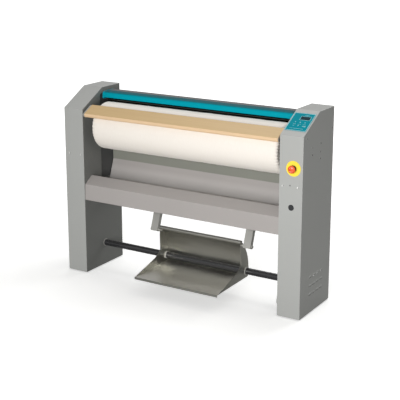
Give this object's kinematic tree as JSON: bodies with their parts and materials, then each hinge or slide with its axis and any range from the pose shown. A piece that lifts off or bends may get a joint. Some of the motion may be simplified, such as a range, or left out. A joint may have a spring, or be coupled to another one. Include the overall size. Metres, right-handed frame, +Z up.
{
  "type": "flatwork ironer",
  "caption": "Free-standing roller ironer with two columns, padded roller, swing-in heated chest, feed board, linen tray and foot pedal.",
  "frame": {"origin": "on the floor, at the middle of the machine's bounding box", "axes": "+X to the operator's right along the roller, +Y to the rear, +Z up"},
  "size_m": [1.5024, 0.49, 1.07],
  "materials": {
    "column_paint": "light grey powder coat, fine orange peel, satin",
    "teal_paint": "teal powder coat, satin",
    "cover_paint": "dark grey powder coat, satin",
    "tray_paint": "warm grey powder coat, satin",
    "frame_paint": "dark grey primer on thick plate",
    "black_steel": "black satin enamel on a round bar",
    "stainless": "brushed stainless sheet",
    "zinc_steel": "bright zinc-plated steel",
    "ground_steel": "ground shaft steel",
    "shoe_metal": "polished ironing face",
    "cast_housing": "painted casting",
    "motor_paint": "blue-grey enamel",
    "roller_cloth": "cream woven ironing cloth",
    "wadding": "felt wadding",
    "blanket": "mineral insulation blanket",
    "board_wood": "clear-varnished pale hardwood",
    "fascia_film": "teal printed film with a pale border",
    "display_glass": "dark display window",
    "key_plastic": "pale moulded keys",
    "stop_yellow": "yellow moulded plate",
    "stop_red": "red moulded mushroom head",
    "black_plastic": "black moulded plastic",
    "circuit_board": "green circuit board",
    "foot_rubber": "moulded rubber",
    "belt_rubber": "ribbed drive belt",
    "nylon": "natural nylon bushes"
  },
  "bodies": {
    "stand": {"left_casing": "column_paint", "right_casing": "column_paint", "left_inner_panel": "column_paint", "right_inner_panel": "column_paint", "left_side_frame": "frame_paint", "right_side_frame": "frame_paint", "back_covers": "column_paint", "base_plates": "frame_paint", "levelling_feet": "foot_rubber", "front_apron": "tray_paint", "rear_tray_plate": "tray_paint", "rear_cross_member": "cover_paint", "rocker_bearings": "frame_paint", "pedal_bar": "black_steel", "bar_collars": "zinc_steel", "flange_bearings": "cast_housing", "gearbox": "cast_housing", "motor": "motor_paint", "drive_belt": "belt_rubber", "chest_pivot_pins": "ground_steel", "control_fascia": "fascia_film", "display_window": "display_glass", "controller_board": "circuit_board", "estop_plate": "stop_yellow", "estop_collar": "black_plastic", "estop_contact_block": "black_plastic", "hole_plug": "black_plastic", "casing_screws": "zinc_steel", "cable_hood": "column_paint", "cable_gland": "black_plastic", "board_switches": "black_plastic"},
    "roller": {"roller_cover": "roller_cloth", "roller_padding": "wadding", "roller_drum": "ground_steel", "roller_shafts": "ground_steel", "roller_pulley": "cast_housing"},
    "drive": {"drive_pulley": "cast_housing"},
    "chest": {"chest_shoe": "shoe_metal", "heating_elements": "stainless", "chest_insulation": "blanket", "chest_front_cover": "teal_paint", "chest_rear_cover": "cover_paint", "chest_end_arms": "teal_paint"},
    "pedal": {"pedal_plate": "stainless", "pedal_bushes": "nylon", "strap_bolts": "zinc_steel"},
    "straps": {"strap_links": "zinc_steel"},
    "rocker": {"rocker_arms": "frame_paint", "rocker_shaft": "ground_steel"},
    "board": {"feed_board": "board_wood", "feed_board_brackets": "zinc_steel", "feed_board_pins": "ground_steel"},
    "stop_plunger": {"estop_plunger": "black_plastic"},
    "stop_cap": {"estop_head": "stop_red"},
    "key_start_body": {"key_start": "key_plastic"},
    "key_stop_body": {"key_stop": "key_plastic"},
    "key_speed_body": {"key_speed": "key_plastic"},
    "key_cooler_body": {"key_cooler": "key_plastic"},
    "key_hotter_body": {"key_hotter": "key_plastic"}
  },
  "joints": [
    {"name": "chest_swing", "type": "hinge", "parent": "stand", "child": "chest", "pos_m": [0, 0.185, 0.56], "axis": [1, 0, 0], "range_deg": [0, 2.5], "stiffness_Nm_per_rad": 400, "springref_deg": -4.58},
    {"name": "pedal_press", "type": "hinge", "parent": "stand", "child": "pedal", "pos_m": [0, 0.0735, 0.136], "axis": [1, 0, 0], "range_deg": [0, 12.05], "stiffness_Nm_per_rad": 40, "springref_deg": -25.78},
    {"name": "rocker_turn", "type": "hinge", "parent": "stand", "child": "rocker", "pos_m": [0, 0.16, 0.462], "axis": [1, 0, 0], "range_deg": [0, 20.75]},
    {"name": "strap_swing", "type": "hinge", "parent": "pedal", "child": "straps", "pos_m": [0, 0.024, 0.298], "axis": [1, 0, 0], "range_deg": [-20.75, 0]},
    {"name": "roller_spin", "type": "hinge", "parent": "stand", "child": "roller", "pos_m": [0, 0.022, 0.866], "axis": [1, 0, 0], "continuous": true},
    {"name": "drive_spin", "type": "hinge", "parent": "stand", "child": "drive", "pos_m": [0, 0.11, 0.63], "axis": [1, 0, 0], "continuous": true},
    {"name": "board_tilt", "type": "hinge", "parent": "stand", "child": "board", "pos_m": [0, -0.098, 0.936], "axis": [1, 0, 0], "range_deg": [0, 8], "stiffness_Nm_per_rad": 4, "springref_deg": -17.19},
    {"name": "estop_push", "type": "slide", "parent": "stand", "child": "stop_plunger", "axis": [0, 1, 0], "range_m": [0, 0.004], "stiffness_N_per_m": 1200, "springref_m": -0.002},
    {"name": "estop_twist", "type": "hinge", "parent": "stop_plunger", "child": "stop_cap", "pos_m": [0.698, -0.137, 0.804], "axis": [0, -1, 0], "range_deg": [-45, 0], "stiffness_Nm_per_rad": 0.08, "springref_deg": 5.73},
    {"name": "key_start_press", "type": "slide", "parent": "stand", "child": "key_start_body", "axis": [0, 0.4735, -0.8808], "range_m": [0, 0.001], "stiffness_N_per_m": 800, "springref_m": -0.001},
    {"name": "key_stop_press", "type": "slide", "parent": "stand", "child": "key_stop_body", "axis": [0, 0.4735, -0.8808], "range_m": [0, 0.001], "stiffness_N_per_m": 800, "springref_m": -0.001},
    {"name": "key_speed_press", "type": "slide", "parent": "stand", "child": "key_speed_body", "axis": [0, 0.4735, -0.8808], "range_m": [0, 0.001], "stiffness_N_per_m": 800, "springref_m": -0.001},
    {"name": "key_cooler_press", "type": "slide", "parent": "stand", "child": "key_cooler_body", "axis": [0, 0.4735, -0.8808], "range_m": [0, 0.001], "stiffness_N_per_m": 800, "springref_m": -0.001},
    {"name": "key_hotter_press", "type": "slide", "parent": "stand", "child": "key_hotter_body", "axis": [0, 0.4735, -0.8808], "range_m": [0, 0.001], "stiffness_N_per_m": 800, "springref_m": -0.001}
  ],
  "couplings": [
    {"joint": "pedal_press", "follows": "chest_swing", "ratio": 4.8},
    {"joint": "rocker_turn", "follows": "chest_swing", "ratio": 8.28},
    {"joint": "strap_swing", "follows": "chest_swing", "ratio": -8.28},
    {"joint": "drive_spin", "follows": "roller_spin", "ratio": 2}
  ]
}
